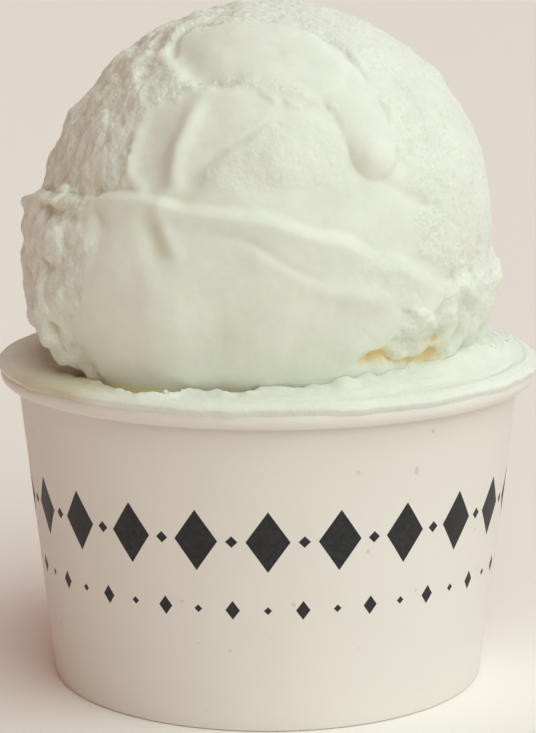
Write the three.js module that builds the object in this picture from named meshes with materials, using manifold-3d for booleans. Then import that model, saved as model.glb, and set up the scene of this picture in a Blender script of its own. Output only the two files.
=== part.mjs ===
// A squat paper cup filled to the rim with white gelato, with one large scoop on top.
// Millimetres, +Z up. The viewer stands at -Y. The origin is the middle of the foot, on the table.
import * as THREE from 'three';
import { mergeVertices } from 'three/addons/utils/BufferGeometryUtils.js';
import Module from 'manifold-3d';

// Paper cup
const CUP_HEIGHT = 52; // table to the top of the rolled rim
const RIM_RADIUS = 43.5; // outermost edge of the rolled rim
const FOOT_RADIUS = 35.4; // outside of the wall at the table
const ROLL_RADIUS = 1.5; // outside radius of the rolled rim's section
const ROLL_END = -115; // degrees round the roll where the paper's edge stops, just short of the wall
const PAPER = 0.45; // coated board
const GLUE_GAP = 0.15; // between two layers of board in the foot
const DISC_HEIGHT = 5.6; // table to the underside of the recessed base
const FOLD_HEIGHT = 4.8; // height of the wall's edge, folded up inside the foot
const FOLD_CHAMFER = 0.3; // corner of each fold
const SEAM_WIDTH = 7; // overlap of the wall's two ends, at the back
const SEAM_MARGIN = 0.6; // bare wall below and above the overlap's outer layer
const ROUND_STEPS = 64; // facets round the cup

// Gelato struck off level with the rim and smeared over it
const CLEARANCE = 0.3; // between the gelato and what it touches
const FILL_LEVEL = 52.5; // surface in the middle
const SMEAR_TOP = 53; // where it is smeared over the rim
const SMEAR_END = 52; // degrees round the roll where the smear stops
const FILL_ROUND_STEPS = 64;

// Scoop
const BALL_RADIUS = 36.6;
const BALL_CENTRE = 73.2; // height of the ball's middle
const SEAT_LEVEL = 51.5; // the scoop's flat underside, pressed a little into the fill
const BALL_DETAIL = 17; // cuts along each edge of the icosahedron

const GELATO_COLOUR = 0xeef1de;
const PAPER_COLOUR = 0xe9e4dc;

const wasm = await Module();
wasm.setup();

const radians = (degrees) => THREE.MathUtils.degToRad(degrees);
const smoothstep = THREE.MathUtils.smoothstep;

// A closed geometry with shared corners, as a solid that can be cut and joined.
function solidOf(geometry) {
  const bare = geometry.clone();
  bare.deleteAttribute('normal');
  bare.deleteAttribute('uv');
  const merged = mergeVertices(bare, 1e-5);
  return new wasm.Manifold(new wasm.Mesh({
    numProp: 3,
    vertProperties: new Float32Array(merged.attributes.position.array),
    triVerts: new Uint32Array(merged.index.array),
  }));
}

function geometryOf(solid) {
  const mesh = solid.getMesh();
  const geometry = new THREE.BufferGeometry();
  geometry.setAttribute('position', new THREE.BufferAttribute(new Float32Array(mesh.vertProperties), 3));
  geometry.setIndex(new THREE.BufferAttribute(new Uint32Array(mesh.triVerts), 1));
  geometry.computeVertexNormals();
  return geometry;
}

// Turns a half section, given as [radius, height] points, about the upright axis.
function turned(section, steps) {
  const geometry = new THREE.LatheGeometry(section.map(([r, z]) => new THREE.Vector2(r, z)), steps);
  return geometry.rotateX(Math.PI / 2);
}

// The section of a sheet of board whose middle follows a line of [radius, height] points. It goes
// once round the board, back along its left side and then along its right side.
function boardSection(line) {
  const points = line.map(([r, z]) => new THREE.Vector2(r, z));
  const left = [];
  const right = [];
  points.forEach((point, i) => {
    const before = points[Math.max(i - 1, 0)];
    const after = points[Math.min(i + 1, points.length - 1)];
    const along1 = point.clone().sub(before).normalize();
    const along2 = after.clone().sub(point).normalize();
    const along = along1.add(along2).normalize();
    const stretch = i > 0 && i < points.length - 1 ? along.dot(along2) : 1;
    const offset = new THREE.Vector2(along.y, -along.x).multiplyScalar(PAPER / 2 / stretch);
    right.push([point.x + offset.x, point.y + offset.y]);
    left.unshift([point.x - offset.x, point.y - offset.y]);
  });
  return [...left, ...right];
}

const rollCentre = [RIM_RADIUS - ROLL_RADIUS, CUP_HEIGHT - ROLL_RADIUS];
const wallTopRadius = rollCentre[0] - ROLL_RADIUS + PAPER;
const wallRadius = (z) => THREE.MathUtils.mapLinear(z, 0, rollCentre[1], FOOT_RADIUS, wallTopRadius);

// Points on a circle round the rolled rim's middle, from one angle to another in degrees.
function roundTheRoll(radius, from, to, steps) {
  return Array.from({ length: steps + 1 }, (_, i) => {
    const angle = radians(from + (to - from) * i / steps);
    return [rollCentre[0] + radius * Math.cos(angle), rollCentre[1] + radius * Math.sin(angle)];
  });
}

// The wall is one blank of board: folded up inside the foot, tapering out, and rolled over at the rim.
function cupSidewall() {
  const wallMiddle = (z) => wallRadius(z) - PAPER / 2;
  const foldRadius = FOOT_RADIUS - 2 * (PAPER + GLUE_GAP) - PAPER / 2;
  const low = PAPER / 2;
  const line = [
    [foldRadius, FOLD_HEIGHT],
    [foldRadius, low + FOLD_CHAMFER],
    [foldRadius + FOLD_CHAMFER, low],
    [wallMiddle(0) - FOLD_CHAMFER, low],
    [wallMiddle(0), low + FOLD_CHAMFER],
    ...roundTheRoll(ROLL_RADIUS - PAPER / 2, 180, ROLL_END, 11),
  ];
  const section = boardSection(line);
  const wall = solidOf(turned([...section, section[0]], ROUND_STEPS));
  return wall.add(solidOf(seamLayer()));
}

// The outer layer of the overlapped seam: a strip of board bent round the back of the wall.
function seamLayer() {
  const sunk = PAPER / 2;
  const low = SEAM_MARGIN;
  const high = rollCentre[1] - ROLL_RADIUS - SEAM_MARGIN;
  const strip = new THREE.BoxGeometry(SEAM_WIDTH, PAPER + sunk, high - low, 4, 1, 1);
  const position = strip.attributes.position;
  for (let i = 0; i < position.count; i += 1) {
    const height = position.getZ(i) + (low + high) / 2;
    const radius = wallRadius(height) + position.getY(i) + (PAPER - sunk) / 2;
    const turn = position.getX(i) / FOOT_RADIUS;
    position.setXYZ(i, -radius * Math.sin(turn), radius * Math.cos(turn), height);
  }
  return strip;
}

// The base is a disc of board whose edge is turned down between the wall and its fold.
function cupBaseDisc() {
  const flangeRadius = FOOT_RADIUS - PAPER - GLUE_GAP - PAPER / 2;
  const discMiddle = DISC_HEIGHT + PAPER / 2;
  const line = [
    [flangeRadius, PAPER + CLEARANCE],
    [flangeRadius, discMiddle - FOLD_CHAMFER],
    [flangeRadius - FOLD_CHAMFER, discMiddle],
    [0, discMiddle],
  ];
  return solidOf(turned(boardSection(line), ROUND_STEPS));
}

// A value that goes smoothly round the scoop, given as [azimuth, value] pairs in order.
function around(azimuth, pairs) {
  const last = pairs[pairs.length - 1];
  const closed = [[last[0] - 360, last[1]], ...pairs, [pairs[0][0] + 360, pairs[0][1]]];
  const next = closed.findIndex(([angle]) => angle > azimuth);
  const [angle1, value1] = closed[next - 1];
  const [angle2, value2] = closed[next];
  return value1 + (value2 - value1) * smoothstep(azimuth, angle1, angle2);
}

// Smooth unevenness between -1 and 1 with lumps of the given size.
function lumps(point, size) {
  const cell = point.clone().divideScalar(size);
  const corner = cell.clone().floor();
  const inside = cell.clone().sub(corner);
  const blend = (t) => t * t * (3 - 2 * t);
  let sum = 0;
  for (let n = 0; n < 8; n += 1) {
    const [i, j, k] = [n & 1, (n >> 1) & 1, n >> 2];
    const mix = (corner.x + i) * 127.1 + (corner.y + j) * 311.7 + (corner.z + k) * 74.7;
    const seed = Math.sin(mix) * 43758.5453;
    const value = 2 * (seed - Math.floor(seed)) - 1;
    const weightX = i ? blend(inside.x) : 1 - blend(inside.x);
    const weightY = j ? blend(inside.y) : 1 - blend(inside.y);
    const weightZ = k ? blend(inside.z) : 1 - blend(inside.z);
    sum += value * weightX * weightY * weightZ;
  }
  return sum;
}

// Directions from the ball's middle are [azimuth, elevation] in degrees: azimuth 0 faces the viewer
// and grows to the viewer's right, elevation grows upwards.
function towards([azimuth, elevation]) {
  const level = Math.cos(radians(elevation));
  return new THREE.Vector3(
    level * Math.sin(radians(azimuth)),
    -level * Math.cos(radians(azimuth)),
    Math.sin(radians(elevation)),
  );
}

// A smooth line over the ball through a few directions, with a width at each of them.
function strokeThrough(stops) {
  const curve = new THREE.CatmullRomCurve3(stops.map((stop) => towards(stop).multiplyScalar(BALL_RADIUS)));
  const steps = 8 * (stops.length - 1);
  return Array.from({ length: steps + 1 }, (_, i) => {
    const place = i / 8;
    const stop = Math.min(Math.floor(place), stops.length - 2);
    const [, , width1] = stops[stop];
    const [, , width2] = stops[stop + 1];
    return { point: curve.getPoint(i / steps), width: width1 + (width2 - width1) * (place - stop) };
  });
}

// How far a place on the ball lies from a stroke, in the stroke's own widths there.
function widthsFrom(stroke, place) {
  return Math.min(...stroke.map(({ point, width }) => point.distanceTo(place) / width));
}

// Where the scoop's lip was dragged round: a ledge, as [azimuth, elevation], with its rise in mm
const LEDGE_LINE = [
  [-150, 5], [-100, 7.5], [-63, 11], [-36, 14], [-4, 11], [15, 6], [30, -1], [48, -8], [90, -8], [140, -2],
];
const LEDGE_RISE = [
  [-150, 2.2], [-95, 2.6], [-70, 2.2], [-40, 0.9], [0, 0.8], [45, 0.8], [85, 0.9], [120, 1.8],
];
const LEDGE_SOFTNESS = 1.3; // mm

// The skirt of gelato that stands out below the ledge, and the elevation where it folds under
const SKIRT_OUT = [
  [-140, 1.8], [-90, 1.3], [-50, 3.6], [-28, 3.2], [-10, 0.6], [30, 0], [60, 0.6], [90, 2], [130, 1.5],
];
const SKIRT_EDGE = [
  [-130, -24], [-95, -20], [-80, -20], [-68, -20], [-62, -23.5], [-53, -25.5], [-49, -29], [-44, -31],
  [-38, -37], [30, -40], [55, -37], [90, -28], [140, -26],
];
const SKIRT_FOLD = 9; // degrees from the edge to the underside
const UNDERSIDE_RADIUS = 36.2;

// Strokes over the ball: stops of azimuth, elevation and half width in mm, and the rise in mm
const STROKES = [
  { rise: 0.4, flat: true, stops: [[-40, 56, 4], [-20, 55, 8], [0, 53, 9], [13, 45, 5]] }, // sheet on top
  { rise: 1.4, flat: true, stops: [[15, 54, 5], [25, 43, 5], [28, 33, 4.6], [27.8, 23, 4]] }, // tongue
  { rise: 0.6, flat: true, stops: [[40, 50, 4], [44, 40, 5], [44, 30, 5], [40, 22, 3]] }, // skin beside it
  { rise: -0.9, stops: [[-36, 52, 2.6], [-20, 46, 2.8], [-6, 46, 2.6]] }, // hollow under the sheet
  { rise: 0.9, stops: [[-21, 39, 2], [-23, 30, 2], [-24, 20, 2.2]] }, // ridge on the left
  { rise: -0.9, stops: [[-31, 34, 2.6], [-31, 26, 2.8], [-30, 18, 2.6]] }, // hollow left of the ridge
  { rise: -0.7, stops: [[-20, 15, 2], [-15, 23, 1.8], [-2, 31, 1.4]] }, // crease right of the ridge
  { rise: -1, stops: [[-28, 9, 1.6], [-24, 1, 1.8]] }, // short dent under the ledge
  { rise: 0.4, stops: [[-4, 10, 2.5], [8, -4, 2.5], [22, -9, 2.4], [34, -11, 2.2]] }, // wiped band
  { rise: 0.8, flat: true, stops: [[-76, 3, 3.6], [-66, 3.5, 3.4], [-58, 1, 2.6]] }, // lobes on the left
  { rise: 1.2, stops: [[-63, 12, 1.8], [-60, 12, 1.8]] }, // lump over them
  { rise: 1, stops: [[-66, -15, 3], [-61, -20, 3], [-58, -25, 2.6]] }, // tip of the skirt
  { rise: 0.5, stops: [[-42, 12.4, 1.8], [-30, 12.4, 2], [-8, 10, 2], [8, 6.8, 2]] }, // the ledge's lip
  { rise: -1.6, stops: [[24, -26, 1.8], [31, -25, 2], [40, -27, 1.6], [50, -27, 1.8]] }, // torn hollows
  { rise: 1, flat: true, stops: [[27, -17, 3], [35, -15, 3.4], [43, -15, 3]] }, // skin over them
  { rise: 1.1, stops: [[80, -10.5, 2.4], [96, -11, 2.6]] }, // knob on the right edge
  { rise: -0.8, stops: [[86, 10, 5], [88, -1, 4]] }, // hollow over it
  { rise: -0.8, stops: [[86, -15, 2.6], [88, -20, 2.6]] }, // hollow under it
  { rise: -0.4, stops: [[-88, 62, 5], [-89, 48, 5], [-90, 36, 4]] }, // flat on the upper left
  { rise: 0.6, stops: [[-91, 20, 2.6], [-92, 12, 2.6]] }, // bulge over the ledge
  { rise: -0.7, stops: [[-89, -5, 3], [-89, -11, 3.4], [-88, -16, 3]] }, // hollow under the ledge
  { rise: 0.8, flat: true, stops: [[125, 44, 4], [150, 36, 7], [178, 34, 6], [-160, 24, 4]] }, // second sheet
  { rise: 1.1, stops: [[112, 38, 2], [119, 22, 2.2], [110, 8, 2]] }, // ridge at the back
  { rise: -1, stops: [[150, 12, 2], [167, 20, 2], [-172, 12, 1.6]] }, // crease at the back
].map((stroke) => ({ ...stroke, line: strokeThrough(stroke.stops) }));

// Torn places with lumps: a middle direction, a reach and a height in mm
const TORN = [
  { at: [-88, -8], reach: 19, height: 0.8 },
  { at: [72, -22], reach: 17, height: 1 },
  { at: [165, -12], reach: 24, height: 0.9 },
  { at: [-130, 25], reach: 22, height: 0.5 },
  { at: [60, 35], reach: 24, height: 0.3 },
  { at: [-62, 30], reach: 20, height: 0.35 },
].map((zone) => ({ ...zone, middle: towards(zone.at).multiplyScalar(BALL_RADIUS) }));
const LUMP_SIZE = 4.5;

// The scoop's radius from the ball's middle in a direction.
function scoopRadius(direction) {
  const azimuth = THREE.MathUtils.radToDeg(Math.atan2(direction.x, -direction.y));
  const elevation = THREE.MathUtils.radToDeg(Math.asin(direction.z));
  const place = direction.clone().multiplyScalar(BALL_RADIUS);
  let radius = BALL_RADIUS;

  const belowLedge = radians(around(azimuth, LEDGE_LINE) - elevation) * BALL_RADIUS;
  radius += around(azimuth, LEDGE_RISE) * smoothstep(belowLedge, -LEDGE_SOFTNESS, LEDGE_SOFTNESS);
  radius += around(azimuth, SKIRT_OUT) * smoothstep(belowLedge, 0, BALL_RADIUS / 2);

  for (const { rise, flat, line } of STROKES) {
    const widths = widthsFrom(line, place);
    radius += rise * (flat ? 1 - smoothstep(widths, 0.7, 1.15) : Math.exp(-widths * widths));
  }
  for (const { middle, reach, height } of TORN) {
    const fade = 1 - smoothstep(place.distanceTo(middle), reach / 2, reach);
    radius += height * fade * lumps(place, LUMP_SIZE);
  }
  const edge = around(azimuth, SKIRT_EDGE);
  return THREE.MathUtils.lerp(UNDERSIDE_RADIUS, radius, smoothstep(elevation, edge - SKIRT_FOLD, edge));
}

// The scoop, grown by a margin all over and cut flat where it sits.
function scoopSolid(margin) {
  const ball = mergeVertices(bareBall(), 1e-3);
  const position = ball.attributes.position;
  const direction = new THREE.Vector3();
  for (let i = 0; i < position.count; i += 1) {
    direction.fromBufferAttribute(position, i).normalize();
    const radius = scoopRadius(direction) + margin;
    position.setXYZ(i, direction.x * radius, direction.y * radius, direction.z * radius + BALL_CENTRE);
  }
  const size = 4 * BALL_RADIUS;
  const above = new THREE.BoxGeometry(size, size, size).translate(0, 0, SEAT_LEVEL - margin + size / 2);
  return solidOf(ball).intersect(solidOf(above));
}

function bareBall() {
  const ball = new THREE.IcosahedronGeometry(1, BALL_DETAIL);
  ball.deleteAttribute('normal');
  ball.deleteAttribute('uv');
  return ball;
}

// Heaps on the fill: azimuth, radius and height of each, and its reach round and across in mm
const HEAPS = [
  { azimuth: 40, radius: 31, height: 2, round: 16, across: 6 },
  { azimuth: 85, radius: 32, height: 2.6, round: 18, across: 7 },
  { azimuth: 130, radius: 37, height: 2, round: 16, across: 5 },
  { azimuth: -75, radius: 33, height: 0.2, round: 18, across: 7 },
];

function fillRelief(x, y) {
  const radius = Math.hypot(x, y);
  return HEAPS.reduce((sum, heap) => {
    const turn = Math.atan2(x, -y) - radians(heap.azimuth);
    const round = Math.atan2(Math.sin(turn), Math.cos(turn)) * heap.radius / heap.round;
    const across = (radius - heap.radius) / heap.across;
    return sum + heap.height * Math.exp(-round * round - across * across);
  }, 0);
}

// The gelato in the cup: it follows the wall, laps over the rolled rim and is cut by the scoop's seat.
function gelatoFill() {
  const floor = DISC_HEIGHT + PAPER + CLEARANCE;
  const side = (z) => wallRadius(z) - PAPER - CLEARANCE;
  const lap = roundTheRoll(ROLL_RADIUS + CLEARANCE, 180, SMEAR_END, 6);
  const [edgeRadius] = lap[lap.length - 1];
  const section = [
    [0, floor],
    [side(floor), floor],
    ...lap,
    [edgeRadius + 0.1, SMEAR_TOP - 0.5],
    [edgeRadius - 0.5, SMEAR_TOP - 0.1],
    [edgeRadius - 1.6, SMEAR_TOP],
    [38.5, SMEAR_TOP - 0.1],
    [35.5, FILL_LEVEL + 0.2],
    [32, FILL_LEVEL],
    [28, FILL_LEVEL],
    [0, FILL_LEVEL],
  ];
  const geometry = turned(section, FILL_ROUND_STEPS);
  const position = geometry.attributes.position;
  for (let i = 0; i < position.count; i += 1) {
    const [x, y, z] = [position.getX(i), position.getY(i), position.getZ(i)];
    const surface = smoothstep(z, CUP_HEIGHT + CLEARANCE, FILL_LEVEL);
    position.setZ(i, z + surface * fillRelief(x, y));
  }
  return solidOf(geometry).subtract(scoopSolid(CLEARANCE));
}

function named(name, solid, color, roughness) {
  const material = new THREE.MeshStandardMaterial({ color, roughness, metalness: 0 });
  const mesh = new THREE.Mesh(geometryOf(solid), material);
  mesh.name = name;
  return mesh;
}

const gelatoCup = new THREE.Group();
gelatoCup.add(
  named('cup_sidewall', cupSidewall(), PAPER_COLOUR, 0.55),
  named('cup_base_disc', cupBaseDisc(), PAPER_COLOUR, 0.6),
  named('gelato_fill', gelatoFill(), GELATO_COLOUR, 0.45),
  named('gelato_scoop', scoopSolid(0), GELATO_COLOUR, 0.45),
);

export default gelatoCup;
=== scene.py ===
"""A squat paper cup filled to the rim with white gelato, with one large scoop on top.

The operators model the board of the cup, the gelato in it, the scoop and its crumbs, and a studio to show
them in. Sizes of the relief are in millimetres; everything that goes into Blender is in metres.
"""
import math

import bpy
import numpy as np
from bpy.props import FloatProperty, FloatVectorProperty, IntProperty, PointerProperty
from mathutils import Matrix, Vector


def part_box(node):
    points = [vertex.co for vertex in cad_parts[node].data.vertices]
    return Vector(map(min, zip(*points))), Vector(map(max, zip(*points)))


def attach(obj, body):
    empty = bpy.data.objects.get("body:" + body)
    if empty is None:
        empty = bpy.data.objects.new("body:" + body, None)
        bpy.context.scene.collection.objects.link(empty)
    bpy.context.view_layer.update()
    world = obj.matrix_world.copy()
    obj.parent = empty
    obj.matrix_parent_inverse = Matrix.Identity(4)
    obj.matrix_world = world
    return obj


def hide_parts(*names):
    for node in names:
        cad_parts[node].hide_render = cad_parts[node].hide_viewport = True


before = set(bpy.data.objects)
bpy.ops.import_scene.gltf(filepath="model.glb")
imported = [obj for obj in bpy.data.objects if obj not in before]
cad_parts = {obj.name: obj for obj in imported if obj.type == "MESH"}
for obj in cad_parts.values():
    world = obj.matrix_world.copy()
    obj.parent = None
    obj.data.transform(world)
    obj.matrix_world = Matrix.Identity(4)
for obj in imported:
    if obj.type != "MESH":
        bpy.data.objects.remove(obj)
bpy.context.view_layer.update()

bl_info = {
    "name": "Gelato cup",
    "version": (1, 0, 0),
    "blender": (4, 5, 0),
    "location": "View3D > Sidebar > Gelato cup",
    "description": "Models a paper cup of gelato with one scoop",
    "category": "Object",
}

MM = 0.001
BODY = "root"
WALL_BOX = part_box("cup_sidewall")


def linear(hex_colour, alpha=False):
    """An sRGB hex colour as linear red, green and blue, with alpha 1 where a shader socket needs it."""
    channels = [int(hex_colour[i:i + 2], 16) / 255 for i in (1, 3, 5)]
    light = [c / 12.92 if c <= 0.04045 else ((c + 0.055) / 1.055) ** 2.4 for c in channels]
    return (*light, 1.0) if alpha else tuple(light)


# Settings

def length_setting(name, description, default):
    """A length, in metres."""
    return FloatProperty(name=name, description=description, default=default, unit="LENGTH")


def angle_setting(name, description, degrees):
    """An angle, given in degrees."""
    return FloatProperty(name=name, description=description, default=math.radians(degrees), subtype="ANGLE")


def colour_setting(name, description, hex_colour):
    """A colour, given in sRGB."""
    default = linear(hex_colour)
    return FloatVectorProperty(name=name, description=description, default=default, subtype="COLOR")


class CupSettings(bpy.types.PropertyGroup):
    """Sizes and colours of the paper cup."""
    rim_radius: length_setting("Rim radius", "Outermost edge of the rolled rim", WALL_BOX[1].x)
    height: length_setting("Height", "Table to the top of the rolled rim", WALL_BOX[1].z)
    foot_radius: length_setting("Foot radius", "Outside of the wall at the table", 35.4 * MM)
    roll_radius: length_setting("Roll radius", "Outside radius of the rolled rim's section", 1.5 * MM)
    board: length_setting("Board", "Thickness of the coated board", 0.4 * MM)
    disc_height: length_setting("Base height", "Table to the underside of the base", 5.6 * MM)
    seam_width: length_setting("Seam", "Overlap of the wall's two ends", 7 * MM)
    facets: IntProperty(name="Facets", description="Faces round the cup", default=256, min=32)
    board_colour: colour_setting("Board colour", "Coated white board", "#ebe6df")
    ink_colour: colour_setting("Ink colour", "Printed band", "#0d1019")


class GelatoSettings(bpy.types.PropertyGroup):
    """Sizes and colours of the gelato."""
    ball_radius: length_setting("Ball radius", "Scoop without its relief", 36.6 * MM)
    ball_centre: length_setting("Ball centre", "Height of the ball's middle", 73.2 * MM)
    seat_level: length_setting("Seat", "Height of the solid scoop's flat underside", 51.5 * MM)
    fill_level: length_setting("Fill level", "Surface in the middle of the cup", 52.5 * MM)
    smear_top: length_setting("Smear", "Height of the gelato smeared over the rim", 53 * MM)
    cream_colour: colour_setting("Cream", "Wiped gelato", "#ebeee3")
    # Deep cream is painted shade, for the crevices and the shaded left
    shade_colour: colour_setting("Deep cream", "Gelato down in the crevices", "#d3ccb0")
    # Butter is painted yellow shade, for the torn hollows and where the scoop meets the fill
    yellow_shade_colour: colour_setting("Yellow shade", "Painted yellow shade in the torn hollows and at the fill", "#f0daa4")
    crumbs: IntProperty(name="Crumbs", description="Loose crumbs round the scoop", default=20, min=1)
    seed: IntProperty(name="Seed", description="Draw of the crumbs", default=7)


class StageSettings(bpy.types.PropertyGroup):
    """Camera, lights and floor."""
    distance: length_setting("Distance", "Camera to the cup's axis, level", 397.8 * MM)
    camera_height: length_setting("Height", "Camera over the table", 128.1 * MM)
    pitch: angle_setting("Pitch", "Camera below the level", 11.06)
    lens: FloatProperty(name="Lens", description="Focal length in mm on a 36 mm long side", default=121.6)
    key_strength: FloatProperty(name="Key", description="Light from the upper right, W/m2", default=2.5)
    key_colour: colour_setting("Key colour", "Light from the upper right", "#e8fffc")
    key_softness: angle_setting("Key softness", "Angle that the light fills", 80)
    key_azimuth: angle_setting("Key azimuth", "From the viewer to the right", 42)
    key_elevation: angle_setting("Key elevation", "Above the level", 48)
    back_strength: FloatProperty(name="Back", description="Weak light from behind, W/m2", default=0.5)
    back_colour: colour_setting("Back colour", "Weak light from behind", "#eefcff")
    back_softness: angle_setting("Back softness", "Angle that the light fills", 60)
    back_azimuth: angle_setting("Back azimuth", "From the viewer to the right", 140)
    back_elevation: angle_setting("Back elevation", "Above the level", 45)
    sky_strength: FloatProperty(name="Sky", description="Even light from all round", default=0.25)
    sky_colour: colour_setting("Sky colour", "Even light from all round", "#ffab88")
    floor_colour: colour_setting("Floor colour", "Matt white paper", "#f7f1ec")


# Relief of the scoop, worked out in millimetres from the ball's middle

def smoothstep(x, low, high):
    """0 below low, 1 above high and smooth between."""
    t = np.clip((x - low) / (high - low), 0, 1)
    return t * t * (3 - 2 * t)


def around(azimuth, pairs):
    """A value that goes smoothly round the scoop, from [azimuth, value] pairs in order."""
    angles, values = np.array(pairs, float).T
    angles = np.concatenate([[angles[-1] - 360], angles, [angles[0] + 360]])
    values = np.concatenate([[values[-1]], values, [values[0]]])
    following = np.searchsorted(angles, azimuth, side="right")
    share = smoothstep(azimuth, angles[following - 1], angles[following])
    return values[following - 1] + (values[following] - values[following - 1]) * share


def lumps(points, size):
    """Smooth unevenness between -1 and 1 with lumps of the given size."""
    cell = points / size
    corner = np.floor(cell)
    inside = cell - corner
    blend = inside * inside * (3 - 2 * inside)
    total = np.zeros(len(points))
    for n in range(8):
        step = np.array([n & 1, (n >> 1) & 1, n >> 2])
        seed = np.sin((corner + step) @ np.array([127.1, 311.7, 74.7])) * 43758.5453
        weight = np.prod(np.where(step, blend, 1 - blend), axis=1)
        total += (2 * (seed - np.floor(seed)) - 1) * weight
    return total


def towards(azimuth, elevation):
    """Unit vector from the ball's middle. Azimuth 0 faces the viewer and grows to the viewer's right."""
    azimuth, elevation = np.radians(azimuth), np.radians(elevation)
    level = np.cos(elevation)
    return np.stack([level * np.sin(azimuth), -level * np.cos(azimuth), np.sin(elevation)], axis=-1)


def stroke_line(stops, radius, steps=6):
    """A smooth line over the ball through stops of azimuth and elevation, with the stops' other values."""
    stops = np.array(stops, float)
    places = towards(stops[:, 0], stops[:, 1]) * radius
    ends = np.concatenate([[2 * places[0] - places[1]], places, [2 * places[-1] - places[-2]]])
    line = []
    for before, start, end, after in zip(ends, ends[1:], ends[2:], ends[3:]):
        for t in np.arange(steps) / steps:
            bend = (2 * before - 5 * start + 4 * end - after) * t ** 2
            twist = (3 * start - before - 3 * end + after) * t ** 3
            line.append(0.5 * (2 * start + (end - before) * t + bend + twist))
    line.append(places[-1])
    along = np.linspace(0, len(stops) - 1, len(line))
    values = np.stack([np.interp(along, np.arange(len(stops)), column) for column in stops[:, 2:].T], axis=1)
    return np.array(line), values


def off_stroke(stops, radius, places):
    """For the places near a stroke: their numbers, how far off they are in mm, with plus on the right of its
    way, and the stroke's values at its nearest point."""
    line, values = stroke_line(stops, radius)
    middle = line.mean(axis=0)
    reach = np.linalg.norm(line - middle, axis=1).max() + 3 * values[:, 0].max() + 1
    close = np.flatnonzero(np.linalg.norm(places - middle, axis=1) < reach)
    near = places[close]
    best = np.full(len(close), np.inf)
    offset = np.zeros(len(close))
    found = np.zeros((len(close), values.shape[1]))
    for start, end, value1, value2 in zip(line, line[1:], values, values[1:]):
        along = end - start
        t = np.clip((near - start) @ along / (along @ along), 0, 1)[:, None]
        gap = near - start - t * along
        distance = np.linalg.norm(gap, axis=1)
        value = value1 + (value2 - value1) * t
        closer = distance / value[:, 0] < best
        best[closer] = (distance / value[:, 0])[closer]
        side = np.sign(gap @ np.cross(along, start))
        offset[closer] = (distance * side)[closer]
        found[closer] = value[closer]
    return close, offset, found


# Where the scoop's lip was dragged round: a ledge, as [azimuth, elevation], its rise and half width in mm
LEDGE_LINE = [[-150, 5], [-100, 7.5], [-63, 11], [-36, 14], [-4, 11], [15, 6], [30, -1], [48, -8], [90, -8],
              [140, -2]]
LEDGE_RISE = [[-150, 2.2], [-95, 2.6], [-70, 2.2], [-40, 0.9], [0, 0.8], [45, 0.8], [85, 0.9], [120, 1.8]]
LEDGE_SOFTNESS = [[-150, 1.2], [-90, 1], [-60, 0.7], [-30, 0.9], [0, 1.4], [60, 1.6], [120, 1.1]]

# How far the skirt of gelato stands out below the ledge, in mm, and the elevation of its edge
SKIRT_OUT = [[-140, 1.8], [-90, 1.3], [-50, 3.6], [-28, 3.2], [-10, 0.6], [30, 0], [60, 0.6], [90, 2],
             [130, 1.5]]
SKIRT_EDGE = [[-130, -24], [-95, -20], [-80, -20], [-68, -20], [-62, -23.5], [-53, -25.5], [-49, -29],
              [-44, -31], [-38, -37], [30, -40], [55, -37], [90, -28], [140, -26]]
# The degrees of elevation over which it folds under the edge, and the radius there in mm
SKIRT_FOLD = 9
UNDERSIDE_RADIUS = 36.2

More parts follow.
